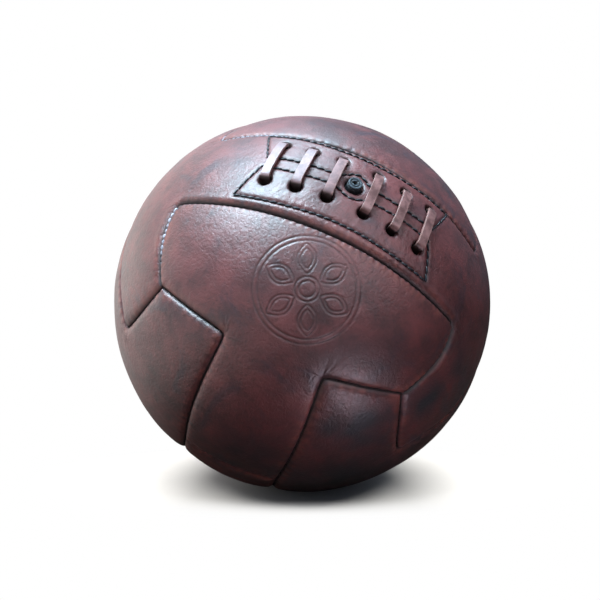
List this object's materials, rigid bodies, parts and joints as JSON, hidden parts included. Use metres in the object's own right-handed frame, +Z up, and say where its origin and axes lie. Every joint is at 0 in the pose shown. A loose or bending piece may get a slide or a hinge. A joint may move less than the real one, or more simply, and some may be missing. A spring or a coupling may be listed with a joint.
{
  "type": "laced leather football",
  "caption": "Round vintage football: a hand-sewn case of lined leather T panels with a laced strip, over a rubber bladder with a pull-out valve plug.",
  "frame": {"origin": "centre of the ball", "axes": "+Z up with the ball at rest on its contact flat; the laced face looks towards -Y, 35 degrees up and 14 degrees towards +X; +X to the right seen from -Y"},
  "size_m": [0.2192, 0.2194, 0.2196],
  "materials": {
    "case_leather": "dark reddish brown, mottled, worn, soft sheen",
    "lace_leather": "matt brown, flat thong with lighter cut edges",
    "inner_leather": "undyed, rough",
    "lining_cotton": "plain woven cotton, glued on",
    "black_thread": "twisted black thread with a bluish shine",
    "waxed_thread": "waxed brown linen thread",
    "valve_rubber": "black, smooth",
    "core_rubber": "blue-grey, smooth",
    "bladder_rubber": "black, matt"
  },
  "bodies": {
    "ball": {"bladder": "bladder_rubber", "bottom_lining": "lining_cotton", "bottom_panel": "case_leather", "front_lining": "lining_cotton", "front_panel": "case_leather", "lace": "lace_leather", "lacing_lining": "lining_cotton", "lacing_panel": "case_leather", "lacing_tongue": "inner_leather", "left_front_lining": "lining_cotton", "left_front_panel": "case_leather", "left_rear_lining": "lining_cotton", "left_rear_panel": "case_leather", "lower_front_lining": "lining_cotton", "lower_front_panel": "case_leather", "lower_lip_patch": "inner_leather", "lower_lip_thread": "black_thread", "lower_right_lining": "lining_cotton", "lower_right_panel": "case_leather", "rear_lining": "lining_cotton", "rear_panel": "case_leather", "right_rear_lining": "lining_cotton", "right_rear_panel": "case_leather", "seam_thread_1": "waxed_thread", "seam_thread_2": "waxed_thread", "seam_thread_3": "waxed_thread", "seam_thread_4": "waxed_thread", "seam_thread_5": "waxed_thread", "seam_thread_6": "waxed_thread", "seam_thread_7": "waxed_thread", "seam_thread_8": "waxed_thread", "seam_thread_9": "waxed_thread", "top_lining": "lining_cotton", "top_panel": "case_leather", "upper_lip_patch": "inner_leather", "upper_lip_thread": "black_thread", "upper_rear_lining": "lining_cotton", "upper_rear_panel": "case_leather", "valve_housing": "valve_rubber"},
    "valve_plug": {"valve_core": "core_rubber"}
  },
  "joints": [
    {"name": "valve_plug_pull", "type": "slide", "parent": "ball", "child": "valve_plug", "axis": [0.2222, -0.7803, 0.5846], "range_m": [0, 0.012]}
  ]
}
